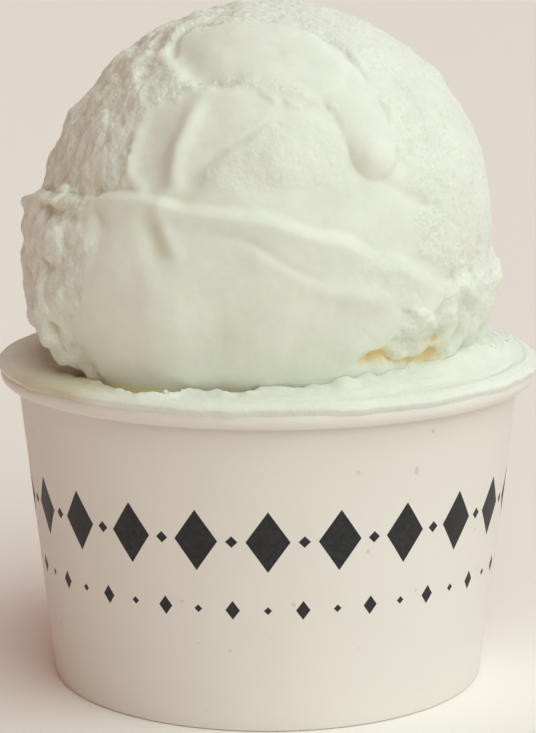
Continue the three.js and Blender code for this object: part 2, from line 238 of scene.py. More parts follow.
# Strokes over the ball. Each stop has azimuth, elevation, half width and rise in mm. A sheet is flat on top.
# A lobe is round with steep flanks, a crag is a broken lobe, and a ridge is soft, or a groove where it sinks.
# A tear rises along a ragged line, on the right of its way, and fades out over its half width.
STROKES = [
    # The thin sheet that the spade wiped over the top, and the crease along its upper edge
    ("sheet", [[-36, 58, 4, 0.1], [-18, 57, 8, 0.2], [0, 55, 9, 0.3], [14, 48, 6, 0.35]]),
    ("ridge", [[-42, 53, 0.9, -0.5], [-47, 57, 0.9, -0.7], [-49, 61, 0.8, -0.6], [-46, 65, 0.6, -0.4],
               [-33, 66, 0.6, -0.25], [-18, 68, 0.6, -0.2], [1, 68, 0.6, -0.2], [18, 64, 0.6, -0.2],
               [29, 58, 0.6, -0.25], [33, 52, 0.6, -0.25], [34, 46, 0.6, -0.2]]),
    # The tongue at its right end. The rough gelato to its right stands almost as high.
    ("lobe", [[18, 51, 5.4, 0.2], [25, 42, 4.6, 0.7], [28, 31, 4.2, 1.3], [27.8, 24, 3.7, 1.9]]),
    ("tear", [[28, 19, 5, 0.1], [31, 22, 6, 0.3], [33, 25, 7, 0.4], [35, 31, 8, 0.4], [36, 36, 8, 0.4],
              [34, 41, 8, 0.4], [34, 46, 7, 0.3], [33, 52, 6, 0.3], [29, 58, 5, 0.1]]),
    # The sheet's lower lip: a ragged step in the middle, a hollow with a raised lip to the left
    ("tear", [[17, 37, 5, 0.1], [11, 38, 6, 0.35], [4, 38, 6, 0.4], [0, 40, 5, 0.35], [-4, 42.5, 4, 0.1]]),
    ("ridge", [[-42, 56, 2, -0.5], [-34, 51.5, 2.6, -0.9], [-26, 47.5, 2.8, -1], [-20, 46, 2.8, -1],
               [-12, 45.5, 2.8, -0.7], [-5, 46, 2.4, -0.2]]),
    ("ridge", [[-43, 51, 1.1, 0.2], [-35, 47.5, 1.3, 0.4], [-27, 43.6, 1.4, 0.45], [-20, 41.6, 1.4, 0.45],
               [-12, 41.2, 1.4, 0.35], [-6, 42, 1.4, 0.15]]),
    # The ridge on the left, the hollow beside it and the hollow's raised left edge
    ("ridge", [[-20, 41, 1.4, 0.2], [-21.5, 36, 1.5, 0.6], [-22.7, 30, 1.5, 0.85], [-24, 24, 1.5, 0.95],
               [-23.5, 18, 1.5, 0.7], [-22, 15, 1.4, 0.15]]),
    ("ridge", [[-31, 36, 2.8, -0.25], [-31.5, 30, 3.3, -0.7], [-30.5, 24, 3.3, -0.8], [-29, 19, 2.8, -0.55]]),
    ("ridge", [[-37, 33, 1, 0.15], [-38, 29, 1, 0.4], [-38, 24, 1, 0.5], [-36.5, 19, 1, 0.55],
               [-32, 15.5, 1, 0.35]]),
    # The crease to the right of the ridge
    ("ridge", [[-21, 14, 2, -0.6], [-19, 18, 1.9, -0.7], [-16, 22, 1.2, -0.5], [-11, 26, 0.8, -0.45],
               [-6, 29, 0.7, -0.35], [-1, 32, 0.6, -0.15]]),
    # Soft unevenness in the middle
    ("ridge", [[2, 24, 2.6, 0.3], [10, 28, 2.4, 0.2]]),
    ("ridge", [[-6, 20, 2.4, -0.25], [4, 17, 2.6, -0.25], [14, 15, 2.2, -0.2]]),
    # The ledge's rounded lip, and the crease above its left end
    ("ridge", [[-46, 12, 1.4, 0.3], [-38, 12.4, 1.9, 0.7], [-30, 12.4, 2, 0.7], [-19, 11, 1.7, 0.45],
               [-4, 9.4, 2.2, 0.45], [8, 6.8, 1.9, 0.3], [22, 1.6, 1.6, 0.2], [37, -3.5, 1.5, 0.2],
               [46, -7, 1.4, 0.05]]),
    ("ridge", [[-47, 13.4, 0.6, -0.15], [-41, 14.8, 0.6, -0.25], [-36, 15.6, 0.6, -0.15]]),
    # The band wiped below the ledge, its groove and the ridge that the groove runs out in
    ("ridge", [[-14, 6.5, 0.8, -0.05], [-6, 5.5, 0.8, -0.15], [0, 2.2, 0.8, -0.2], [6, -1.5, 0.8, -0.2],
               [12, -4.6, 0.8, -0.12], [16, -6.5, 0.8, -0.03]]),
    ("ridge", [[-2, 1, 1.6, 0.1], [8, -4.5, 1.6, 0.2], [15, -7, 1.6, 0.3], [22, -9, 1.5, 0.4],
               [30, -11, 1.4, 0.45], [35, -11.5, 1.4, 0.2]]),
    # Dents and a bump under the ledge, and two marks to the right of the tongue
    ("ridge", [[-29.5, 9.5, 1.6, -0.4], [-27.5, 6, 1.8, -0.8], [-25.5, 2.5, 2, -0.8],
               [-23.5, -1, 2.2, -0.2]]),
    ("ridge", [[-26, 9.5, 1.2, 0.2], [-24, 6, 1.2, 0.6], [-21.5, 2.5, 1.3, 0.5], [-19.5, -1, 1.6, 0.1]]),
    ("ridge", [[-45, 10, 1, -0.35], [-43, 7.5, 1.2, -0.55], [-40.5, 6, 1.2, -0.2]]),
    ("ridge", [[30, 18, 0.8, -0.1], [36, 14.5, 1, -0.35], [43, 11.5, 1.1, -0.4], [47, 11.5, 0.8, -0.15]]),
    ("ridge", [[37.5, 31, 0.8, -0.15], [39.5, 26.5, 1, -0.3], [41, 24, 0.8, -0.1]]),
    # Lobes and lumps at the left end of the ledge, with the notch below them
    ("crag", [[-76, 3, 3.8, 0.5], [-66, 3.5, 3.6, 0.8], [-56, 0, 3, 0.9]]),
    ("crag", [[-55, 5, 2.4, 0.4], [-46, 4, 2.4, 0.4]]),
    ("crag", [[-62.5, 12, 1.7, 1.1], [-60.5, 12.2, 1.7, 1.1]]),
    ("ridge", [[-68, 8, 0.9, -0.6], [-62, 8, 1, -1], [-55, 7.5, 0.9, -0.6], [-48, 7, 0.8, -0.2]]),
    ("crag", [[-61, -9, 1.8, 0.5], [-60, -14, 2.2, 0.8], [-58.5, -19, 2, 0.6]]),
    ("crag", [[-71, -7, 2.4, 0.4], [-70, -12, 2.4, 0.5]]),
    ("crag", [[-66, -15, 3.2, 0.5], [-61, -20, 3.2, 1], [-58, -25, 2.8, 1]]),
    # The torn edge of the wiped skin at the lower right, with the hollows under it
    ("tear", [[46, -20, 6, 0.2], [41, -17, 7, 0.8], [35, -19, 7, 0.9], [31, -19, 7, 0.9], [29, -22, 7, 0.8],
              [24, -23.5, 6, 0.6], [21, -27, 5, 0.3], [17, -29, 4, 0.1]]),
    ("ridge", [[25, -26, 1.1, -0.8], [28, -25.5, 1.4, -2], [31, -25, 1.4, -1.9], [34, -26, 1, -0.9]]),
    ("ridge", [[34, -27, 0.7, -0.6], [40, -27, 0.8, -0.8], [46, -27.5, 1, -0.9], [49, -27, 1.3, -1.1],
               [53, -27.5, 1, -0.6]]),
    ("ridge", [[44, -21.5, 1.4, -0.6], [48, -21, 1.5, -0.7]]),
    ("crag", [[37.5, -16, 2.6, 0.6], [41, -17.3, 2.4, 0.8]]),
    # Knob, bumps and hollows on the right and left outlines
    ("ridge", [[80, -10.5, 2.2, 1], [96, -11, 2.4, 1.1]]),
    ("ridge", [[80, 52, 2, 0.3], [95, 52, 2, 0.3]]),
    ("ridge", [[78, 43, 2, 0.5], [96, 43, 2.2, 0.5]]),
    ("ridge", [[86, 10, 5, -0.6], [88, -1, 4, -0.9]]),
    ("ridge", [[-88, 62, 5, -0.3], [-89, 48, 5, -0.5], [-90, 36, 4, -0.4]]),
    ("ridge", [[-91, 20, 2.4, 0.4], [-92, 12, 2.4, 0.8]]),
    ("ridge", [[-89, -5, 3, -0.3], [-89, -11, 3.4, -0.8], [-88, -16, 3, -0.5]]),
    ("ridge", [[86, -15, 2.6, -0.8], [88, -20, 2.6, -0.9]]),
    # At the back, where the spade left the ball: a second sheet, a ridge and a crease
    ("sheet", [[125, 44, 4, 0.7], [150, 36, 7, 0.8], [178, 34, 6, 0.8], [-160, 24, 4, 0.8]]),
    ("ridge", [[112, 38, 2, 1.1], [119, 22, 2.2, 1.1], [110, 8, 2, 1.1]]),
    ("ridge", [[150, 12, 2, -1], [167, 20, 2, -1], [-172, 12, 1.6, -1]]),
]

# Wiped places, as strokes of azimuth, elevation and half width in mm. The gelato is icy everywhere else.
WIPED = [
    [[-40, 55, 3.5], [-20, 56, 7], [0, 56, 7], [14, 51, 6], [27, 40, 4.4], [28, 28, 4.1], [28, 22, 3.2]],
    [[-31, 32, 4], [-30, 20, 4.5]],
    [[-22, 38, 3], [-22, 28, 4], [-22, 18, 4]],
    [[-18, 36, 4], [-4, 30, 9], [8, 22, 11], [18, 14, 11], [24, 6, 9]],
    [[-44, 8, 3], [-30, 9, 7], [0, 5, 8], [20, -1, 6], [42, -8, 3.5]],
    [[-30, 2, 7], [-28, -8, 10], [-26, -18, 13], [-10, -18, 20], [4, -20, 17], [20, -13, 8.5]],
    [[125, 44, 4], [150, 36, 8], [178, 34, 7], [-160, 24, 5]],
    [[150, -12, 9], [178, -16, 12], [-155, -12, 9]],
]

# Wiped places where some grain shows again, as strokes like those
GRAINY = [[[-8, 22, 4], [2, 26, 6], [14, 25, 5]], [[26, -2, 3], [38, -10, 4]]]

# Torn hollows where yellow shade is painted, strongest where they are deep, as strokes like those
YELLOW_SHADED_HOLLOWS = [
    [[26, -25.5, 1.2], [30, -25, 1.6], [34, -26, 1.4], [40, -27.5, 1], [44, -26, 1.6], [48, -26, 2.4],
     [51, -28, 2]],
]

# Places on the shaded left where patches of olive shade are painted, as strokes like those
SHADED_LEFT_PATCHES = [
    [[-70, 52, 3], [-62, 44, 4], [-60, 36, 3.5], [-66, 30, 3]],
    [[-70, 22, 2.5], [-60, 19, 3], [-52, 18, 2.5]],
    [[-56, 9, 1.5], [-48, 8.5, 1.5]],
    [[-84, 14, 4], [-80, 26, 3]],
]

# Torn places with lumps: azimuth and elevation of the middle, reach and height in mm
TORN = [
    (-88, -8, 19, 0.8),
    (72, -22, 17, 1.0),
    (165, -12, 24, 0.9),
    (-130, 25, 22, 0.5),
    (60, 35, 24, 0.3),
    (-62, 30, 20, 0.35),
]
LUMP_SIZE = 4.5


def directions_to_angles(directions):
    """Azimuth and elevation of unit vectors, in degrees."""
    azimuth = np.degrees(np.arctan2(directions[:, 0], -directions[:, 1]))
    return azimuth, np.degrees(np.arcsin(np.clip(directions[:, 2], -1, 1)))


def scoop_radius(directions, ball_radius):
    """The scoop's radius from the ball's middle in each direction, in mm."""
    azimuth, elevation = directions_to_angles(directions)
    places = directions * ball_radius
    radius = np.full(len(directions), ball_radius)
    below_ledge = np.radians(around(azimuth, LEDGE_LINE) - elevation) * ball_radius
    softness = around(azimuth, LEDGE_SOFTNESS)
    radius += around(azimuth, LEDGE_RISE) * smoothstep(below_ledge, -softness, softness)
    radius += around(azimuth, SKIRT_OUT) * smoothstep(below_ledge, 0, ball_radius / 2)
    for kind, stops in STROKES:
        close, offset, values = off_stroke(stops, ball_radius, places)
        width, rise = values[:, 0], values[:, 1]
        share = np.abs(offset) / width
        if kind == "sheet":
            radius[close] += rise * (1 - smoothstep(share, 0.8, 1.1))
        elif kind == "lobe":
            radius[close] += rise * np.clip(1 - share ** 2, 0, 1)
        elif kind == "crag":
            broken = share * (1 + 0.4 * lumps(places[close], 2.2))
            radius[close] += rise * np.clip(1 - broken ** 2, 0, 1) * (1 + 0.4 * lumps(places[close] + 5, 2.6))
        elif kind == "ridge":
            radius[close] += rise * np.exp(-share ** 2)
        else:
            ragged = offset + 0.9 * lumps(places[close], 2.4) + 0.4 * lumps(places[close], 1.1)
            radius[close] += rise * smoothstep(ragged, -0.6, 0.6) * (1 - smoothstep(share, 0, 1))
    for torn_azimuth, torn_elevation, reach, height in TORN:
        away = np.linalg.norm(places - towards(torn_azimuth, torn_elevation) * ball_radius, axis=1)
        radius += height * (1 - smoothstep(away, reach / 2, reach)) * lumps(places, LUMP_SIZE)
    edge = around(azimuth, SKIRT_EDGE)
    return UNDERSIDE_RADIUS + (radius - UNDERSIDE_RADIUS) * smoothstep(elevation, edge - SKIRT_FOLD, edge)


def stroke_share(strokes, directions, ball_radius):
    """1 on strokes of azimuth, elevation and half width, and 0 away from them, with an uneven edge."""
    places = directions * ball_radius
    share = np.zeros(len(directions))
    for stops in strokes:
        close, offset, values = off_stroke(stops, ball_radius, places)
        edge = 1 + 0.15 * lumps(places[close], 2.5)
        covered = 1 - smoothstep(np.abs(offset) / values[:, 0], 0.8 * edge, 1.15 * edge)
        share[close] = np.maximum(share[close], covered)
    return share


# Modelling helpers

def deselect():
    """Leaves nothing selected, because operators act on all that is."""
    if bpy.context.object and bpy.context.object.mode != "OBJECT":
        bpy.ops.object.mode_set(mode="OBJECT")
    bpy.ops.object.select_all(action="DESELECT")


def begin(name):
    """Names the primitive that was just added and moves its place into its mesh."""
    piece = bpy.context.active_object
    piece.name = name
    piece.data.name = name
    bpy.ops.object.transform_apply(location=True, rotation=True, scale=True)
    return piece


def points_of(piece):
    """The places of a mesh's corners as an array, in metres."""
    flat = np.empty(len(piece.data.vertices) * 3, np.float32)
    piece.data.vertices.foreach_get("co", flat)
    return flat.reshape(-1, 3).astype(float)


def set_points(piece, points):
    """Moves a mesh's corners."""
    piece.data.vertices.foreach_set("co", points.astype(np.float32).ravel())
    piece.data.update()


def select_faces(piece, chosen):
    """Selects faces by an array of booleans, in object mode."""
    mesh = piece.data
    mesh.vertices.foreach_set("select", np.zeros(len(mesh.vertices), bool))
    mesh.edges.foreach_set("select", np.zeros(len(mesh.edges), bool))
    mesh.polygons.foreach_set("select", chosen)


def face_centres(piece):
    """The middle of each face, in metres."""
    flat = np.empty(len(piece.data.polygons) * 3, np.float32)
    piece.data.polygons.foreach_get("center", flat)
    return flat.reshape(-1, 3).astype(float)


def apply_modifier(piece, kind, **settings):
    """Adds one modifier, sets it and applies it."""
    modifier = piece.modifiers.new(kind.lower(), kind)
    for name, value in settings.items():
        setattr(modifier, name, value)
    bpy.context.view_layer.objects.active = piece
    bpy.ops.object.modifier_apply(modifier=modifier.name)


def edit_all():
    """Opens the active piece with all corners selected. Face mode can't select a ring that has no faces."""
    bpy.ops.object.mode_set(mode="EDIT")
    bpy.ops.mesh.select_mode(type="VERT")
    bpy.ops.mesh.select_all(action="SELECT")


def extrude_rings(line):
    """Extrudes the selected ring from ring to ring along a line of [radius, height], in metres."""
    for (radius1, height1), (radius2, height2) in zip(line[:-1], line[1:]):
        bpy.ops.mesh.extrude_region_move(TRANSFORM_OT_translate={"value": (0, 0, height2 - height1)})
        share = radius2 / radius1
        bpy.ops.transform.resize(value=(share, share, 1), center_override=(0, 0, height2))


def close_middle():
    """Extrudes the selected ring once more and draws it together in its middle."""
    bpy.ops.mesh.extrude_region_move(TRANSFORM_OT_translate={"value": (0, 0, 0)})
    bpy.ops.mesh.merge(type="CENTER")


def finish_editing():
    """Points all faces outwards and leaves edit mode."""
    bpy.ops.mesh.select_all(action="SELECT")
    bpy.ops.mesh.normals_make_consistent(inside=False)
    bpy.ops.object.mode_set(mode="OBJECT")


# Weights in a vertex group are rounded to this many steps
WEIGHT_STEPS = 20


def paint_group(piece, name, weights):
    """Makes a vertex group from one weight for each corner."""
    group = piece.vertex_groups.new(name=name)
    levels = np.round(np.clip(weights, 0, 1) * WEIGHT_STEPS).astype(int)
    for level in range(1, WEIGHT_STEPS + 1):
        group.add(np.flatnonzero(levels == level).tolist(), level / WEIGHT_STEPS, "REPLACE")


def roughen(piece, name, size, height, group, detail):
    """Displaces the corners of a group along their normals by noise of a size and height in metres."""
    texture = bpy.data.textures.new(name, "CLOUDS")
    texture.noise_basis = "IMPROVED_PERLIN"
    texture.noise_scale = size
    texture.noise_depth = detail
    apply_modifier(piece, "DISPLACE", texture=texture, texture_coords="LOCAL", strength=height,
                   mid_level=0.5, vertex_group=group)


# Edges sharper than these stay sharp
BOARD_CREASE = math.radians(35)
GELATO_CREASE = math.radians(60)


def finish_piece(piece, material, crease, replaced=None):
    """Gives a piece its shading, its material and its body, and hides the solid it stands for."""
    bpy.ops.object.shade_smooth_by_angle(angle=crease)
    piece.data.materials.clear()
    piece.data.materials.append(material)
    bpy.context.view_layer.objects.active = piece
    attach(piece, BODY)
    if replaced:
        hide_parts(replaced)


def set_marks(piece, icy, painted_shade, yellow_shade):
    """Stores how icy each corner is, and how much painted shade and painted yellow shade it takes, for the
    gelato's material.
    """
    for name, values in (("icy", icy), ("painted_shade", painted_shade), ("yellow_shade", yellow_shade)):
        values = np.broadcast_to(values, len(piece.data.vertices)).astype(np.float32)
        piece.data.attributes.new(name, "FLOAT", "POINT").data.foreach_set("value", values)


def crevices(piece, passes, depth):
    """How deep each corner lies under the smoothed surface, from 0 to 1 at the given depth in metres."""
    mesh = piece.data
    pairs = np.empty(len(mesh.edges) * 2, np.int32)
    mesh.edges.foreach_get("vertices", pairs)
    pairs = pairs.reshape(-1, 2)
    count = np.bincount(pairs.ravel(), minlength=len(mesh.vertices))[:, None]
    points = points_of(piece)
    smooth = points.copy()
    for _ in range(passes):
        total = np.stack([
            np.bincount(pairs[:, 0], smooth[pairs[:, 1], axis], len(points))
            + np.bincount(pairs[:, 1], smooth[pairs[:, 0], axis], len(points)) for axis in range(3)], axis=1)
        smooth = total / count
    normals = np.empty(len(points) * 3, np.float32)
    mesh.vertices.foreach_get("normal", normals)
    sunk = np.sum((smooth - points) * normals.reshape(-1, 3), axis=1)
    return np.clip(sunk / depth, 0, 1)


# Materials

def add(tree, kind, inputs=None, **settings):
    """Adds a node, sets its properties, and links or sets its inputs, which are named or numbered."""
    node = tree.nodes.new("ShaderNode" + kind)
    for name, value in settings.items():
        setattr(node, name, value)
    for name, value in (inputs or {}).items():
        if isinstance(value, bpy.types.NodeSocket):
            tree.links.new(value, node.inputs[name])
        else:
            node.inputs[name].default_value = value
    return node


def new_material(name):
    """An empty node material with its tree."""
    material = bpy.data.materials.new(name)
    material.use_nodes = True
    material.node_tree.nodes.clear()
    return material, material.node_tree


# Sizes of the gelato's patterns: the ice grain, drawn far coarser than real crystals so that it shows, the
# ripple that the spade leaves in wiped skin, and the patches of denser gelato
ICE_GRAIN = 0.6 * MM
SKIN_RIPPLE = 2.5 * MM
DENSE_PATCH = 7 * MM
GRAIN_HEIGHT = 0.3 * MM
# The ripple's height as a share of the grain's
RIPPLE_SHARE = 0.3


def gelato_material(settings, name, scatter):
    """Churned white gelato: light goes into it as far as scatter, so relief is soft. Wiped skin is smooth
    and moist, torn gelato is icy and grainy. Olive shade is painted into its pits, deeper on its shaded
    left and in patches there, and yellow shade into the torn hollows and where the scoop meets the fill."""
    material, tree = new_material(name)
    place = add(tree, "TexCoord").outputs["Object"]
    icy, painted_shade, yellow_shade = [
        add(tree, "Attribute", attribute_name=mark).outputs["Fac"] for mark in ("icy", "painted_shade", "yellow_shade")]
    grain = add(tree, "TexNoise", {"Vector": place, "Scale": 1 / ICE_GRAIN, "Detail": 3.0, "Roughness": 0.6})
    skin = add(tree, "TexNoise", {"Vector": place, "Scale": 1 / SKIN_RIPPLE, "Detail": 3.0})
    cloud = add(tree, "TexNoise", {
        "Vector": place, "Scale": 1 / DENSE_PATCH, "Detail": 3.0, "Roughness": 0.6})
    patchy = add(tree, "MapRange", {
        "Value": cloud.outputs["Fac"], "From Min": 0.3, "From Max": 0.7, "To Min": 0.95, "To Max": 1.02})
    frost = add(tree, "MapRange", {
        "Value": grain.outputs["Fac"], "From Min": 0.35, "From Max": 0.65, "To Min": 0.96, "To Max": 1.02})
    frosted = add(tree, "Mix", {0: icy, 2: 1.0, 3: frost.outputs["Result"]}, data_type="FLOAT")
    light = add(tree, "Math", {0: patchy.outputs["Result"], 1: frosted.outputs[0]}, operation="MULTIPLY")
    shaded_cream = add(tree, "Mix", {
        0: painted_shade, 6: (*settings.cream_colour, 1), 7: (*settings.shade_colour, 1)}, data_type="RGBA")
    yellow_shaded = add(tree, "Mix", {
        0: yellow_shade, 6: shaded_cream.outputs[2], 7: (*settings.yellow_shade_colour, 1)}, data_type="RGBA")
    colour = add(tree, "VectorMath", {0: yellow_shaded.outputs[2], "Scale": light.outputs[0]}, operation="SCALE")
    rough = add(tree, "MapRange", {"Value": icy, "To Min": 0.45, "To Max": 0.65})
    grain_height = add(tree, "Math", {0: grain.outputs["Fac"], 1: icy}, operation="MULTIPLY")
    skin_height = add(tree, "Math", {0: skin.outputs["Fac"], 1: RIPPLE_SHARE}, operation="MULTIPLY")
    height = add(tree, "Math", {0: grain_height.outputs[0], 1: skin_height.outputs[0]}, operation="ADD")
    bump = add(tree, "Bump", {"Height": height.outputs[0], "Strength": 1.0, "Distance": GRAIN_HEIGHT})
    shader = add(tree, "BsdfPrincipled", {
        "Base Color": colour.outputs[0], "Roughness": rough.outputs["Result"],
        "Normal": bump.outputs["Normal"], "IOR": 1.35, "Specular IOR Level": 0.4,
        "Subsurface Weight": 1.0, "Subsurface Radius": (1.0, 0.9, 0.7), "Subsurface Scale": scatter})
    add(tree, "OutputMaterial", {"Surface": shader.outputs["BSDF"]})
    return material


# Sizes of the board's patterns: tufts of fibre, drawn coarser than single fibres so that they show, the
# uneven whiteness between them, and scuffs
FIBRE_TUFT = 0.8 * MM
BOARD_CLOUD = 14 * MM
SCUFF = 2.4 * MM
FIBRE_HEIGHT = 0.05 * MM
SCUFF_COLOUR = linear("#a8917c", alpha=True)


def board_material(settings, printed):
    """White cup board with a thin satin coating: faint fibres under it, a few scuffs, and ink where it is
    printed."""
    material, tree = new_material("coated_white_cupboard" + ("_printed" if printed else ""))
    place = add(tree, "TexCoord").outputs["Object"]
    fibre = add(tree, "TexNoise", {
        "Vector": place, "Scale": 1 / FIBRE_TUFT, "Detail": 4.0, "Roughness": 0.65})
    cloud = add(tree, "TexNoise", {"Vector": place, "Scale": 1 / BOARD_CLOUD, "Detail": 2.0})
    scuff = add(tree, "TexNoise", {"Vector": place, "Scale": 1 / SCUFF, "Detail": 1.0})
    mottle = add(tree, "MapRange", {"Value": cloud.outputs["Fac"], "To Min": 0.96, "To Max": 1.02})
    paper = add(tree, "VectorMath", {
        0: settings.board_colour, "Scale": mottle.outputs["Result"]}, operation="SCALE")
    specks = add(tree, "MapRange", {
        "Value": scuff.outputs["Fac"], "From Min": 0.77, "From Max": 0.8, "To Min": 0.0, "To Max": 0.3})
    worn = add(tree, "Mix", {
        0: specks.outputs["Result"], 6: paper.outputs[0], 7: SCUFF_COLOUR}, data_type="RGBA")
    rough = add(tree, "MapRange", {"Value": fibre.outputs["Fac"], "To Min": 0.45, "To Max": 0.6})
    bump = add(tree, "Bump", {"Height": fibre.outputs["Fac"], "Strength": 0.35, "Distance": FIBRE_HEIGHT})
    colour = worn.outputs[2]
    if printed:
        dusty = add(tree, "MapRange", {
            "Value": fibre.outputs["Fac"], "From Min": 0.3, "From Max": 0.75, "To Min": 1.0, "To Max": 0.97})
        ink = ink_mask(tree, place)
        cover = add(tree, "Math", {0: ink, 1: dusty.outputs["Result"]}, operation="MULTIPLY")
        colour = add(tree, "Mix", {
            0: cover.outputs[0], 6: colour, 7: (*settings.ink_colour, 1)}, data_type="RGBA").outputs[2]
    shader = add(tree, "BsdfPrincipled", {
        "Base Color": colour, "Roughness": rough.outputs["Result"], "Normal": bump.outputs["Normal"],
        "IOR": 1.5, "Specular IOR Level": 0.45})
    add(tree, "OutputMaterial", {"Surface": shader.outputs["BSDF"]})
    return material


# The printed band: bold lozenges with dots between them, over a row of small lozenges, all round the cup
REPEATS = 22
PRINT_RADIUS = 38 * MM
BAND = [
    # half width and half height of a lozenge, its level, its shift in repeats
    (3.3 * MM, 4.8 * MM, 31 * MM, 0.0),
    (0.9 * MM, 0.9 * MM, 31 * MM, 0.5),
    (1.1 * MM, 1.5 * MM, 20 * MM, 0.5),
    (0.6 * MM, 0.6 * MM, 20 * MM, 0.0),
]
INK_EDGE = 0.06 * MM


def ink_mask(tree, place):
    """1 where there is ink. The way round the cup is an angle, so the pattern closes on itself."""
    def calculate(operation, first, second=0.0):
        """One sum of the mask."""
        return add(tree, "Math", {0: first, 1: second}, operation=operation).outputs[0]

    parts = add(tree, "SeparateXYZ", {0: place}).outputs
    angle = calculate("ARCTAN2", parts["X"], calculate("MULTIPLY", parts["Y"], -1.0))
    repeats = calculate("MULTIPLY", angle, REPEATS / math.tau)
    width = math.tau * PRINT_RADIUS / REPEATS
    ink = None
    for half_width, half_height, level, shift in BAND:
        cell = calculate("FLOORED_MODULO", calculate("ADD", repeats, 0.5 + shift), 1.0)
        across = calculate("MULTIPLY", calculate("ADD", cell, -0.5), width / half_width)
        up = calculate("MULTIPLY", calculate("ADD", parts["Z"], -level), 1 / half_height)
        away = calculate("ADD", calculate("ABSOLUTE", across), calculate("ABSOLUTE", up))
        lozenge = add(tree, "MapRange", {
            "Value": away, "From Min": 1.0, "From Max": 1 + INK_EDGE / half_width,
            "To Min": 1.0, "To Max": 0.0}).outputs["Result"]
        ink = calculate("MAXIMUM", ink, lozenge) if ink else lozenge
    return ink


# Pieces

def round_the_roll(cup, radius, start, end, steps):
    """Points on a circle round the rolled rim's middle, from one angle to another in degrees."""
    middle = (cup.rim_radius - cup.roll_radius, cup.height - cup.roll_radius)
    angles = np.radians(np.linspace(start, end, steps + 1))
    return [(middle[0] + radius * math.cos(a), middle[1] + radius * math.sin(a)) for a in angles]


# Dents that handling left in the wall: azimuth, height, reach round and up, and depth, in degrees and mm
DENTS = [
    (74, 42, 5, 9, -0.12),
    (82, 30, 6, 14, 0.1),
    (-70, 22, 7, 16, -0.25),
    (-35, 28, 2, 3, 0.08),
    (150, 36, 7, 9, -0.3),
    (-140, 20, 9, 8, 0.2),
]


# The dents fade in over these heights above the foot, and out over these below the rim, in mm
DENTS_START = (3, 10)
DENTS_END = (42, 49)

# The foot: the bend of its fold, how far the fold ends below the base, and the gap on both sides of the
# base's turned-down edge
FOOT_BEND = 0.35 * MM
FOLD_END = 0.8 * MM
BASE_GAP = 0.15 * MM
# Rings up the wall, how far its top lies inside the rim's edge, and where the seam ends below the rim, in
# roll radii
WALL_RINGS = 26
NECK = 2.55 * MM
SEAM_END = 2.6


class CUP_OT_wall(bpy.types.Operator):
    """Extrudes the cup's wall from its folded foot to its rolled rim and thickens it into board"""
    bl_idname = "gelato_cup.wall"
    bl_label = "Paper wall"

    def execute(self, context):
        cup = context.scene.cup_settings
        board = cup.board
        fold = cup.foot_radius - 2.5 * board - 2 * BASE_GAP
        outer = cup.foot_radius - board / 2
        foot = board / 2
        knee = 0.3 * FOOT_BEND
        line = [(fold, cup.disc_height - FOLD_END), (fold, foot + FOOT_BEND), (fold + knee, foot + knee),
                (fold + FOOT_BEND, foot), (outer - FOOT_BEND, foot), (outer - knee, foot + knee),
                (outer, foot + FOOT_BEND)]
        roll = round_the_roll(cup, cup.roll_radius - board / 2, 180, -118, 20)
        line += [tuple(ring) for ring in np.linspace(line[-1], roll[0], WALL_RINGS)[1:-1]]
        line += roll
        deselect()
        bpy.ops.mesh.primitive_circle_add(
            vertices=cup.facets, radius=line[0][0], location=(0, 0, line[0][1]))
        piece = begin("paper_wall")
        edit_all()
        extrude_rings(line)
        finish_editing()
        self.dent(piece, cup)
        apply_modifier(piece, "SOLIDIFY", thickness=board, offset=0.0, use_even_offset=True)
        self.raise_seam(piece, cup)
        finish_piece(piece, board_material(cup, printed=True), BOARD_CREASE, "cup_sidewall")
        return {"FINISHED"}

    def dent(self, piece, cup):
        """Presses the dents in, clear of the foot with its fold and of the rim."""
        points = points_of(piece) / MM
        azimuth = np.degrees(np.arctan2(points[:, 0], -points[:, 1]))
        radius = np.hypot(points[:, 0], points[:, 1])
        free = smoothstep(points[:, 2], *DENTS_START) * (1 - smoothstep(points[:, 2], *DENTS_END))
        free *= radius > (cup.foot_radius - 2 * cup.board) / MM
        change = np.zeros(len(points))
        for dent_azimuth, height, reach_round, reach_up, depth in DENTS:
            way = (azimuth - dent_azimuth + 180) % 360 - 180
            change += depth * np.exp(-(way / reach_round) ** 2 - ((points[:, 2] - height) / reach_up) ** 2)
        points[:, :2] *= (1 + free * change / radius)[:, None]
        set_points(piece, points * MM)

    def raise_seam(self, piece, cup):
        """The outer layer of the overlapped seam, at the back, one board thick."""
        centres = face_centres(piece)
        radius, height = np.hypot(centres[:, 0], centres[:, 1]), centres[:, 2]
        wall = np.interp(height, [0, cup.height - cup.roll_radius], [cup.foot_radius, cup.rim_radius - NECK])
        outside = (radius > wall - 0.3 * cup.board) & (height > 3 * cup.board)
        outside &= height < cup.height - SEAM_END * cup.roll_radius
        seam = outside & (centres[:, 1] > 0) & (np.abs(centres[:, 0]) < cup.seam_width / 2)
        select_faces(piece, seam)
        bpy.ops.object.mode_set(mode="EDIT")
        bpy.ops.mesh.select_mode(type="FACE")
        bpy.ops.mesh.extrude_region_shrink_fatten(TRANSFORM_OT_shrink_fatten={"value": cup.board})
        bpy.ops.object.mode_set(mode="OBJECT")


# The base: how high its turned-down edge stands over the table, and the bend into the disc
BASE_FOOT = 0.8 * MM
BASE_BEND = 0.5 * MM


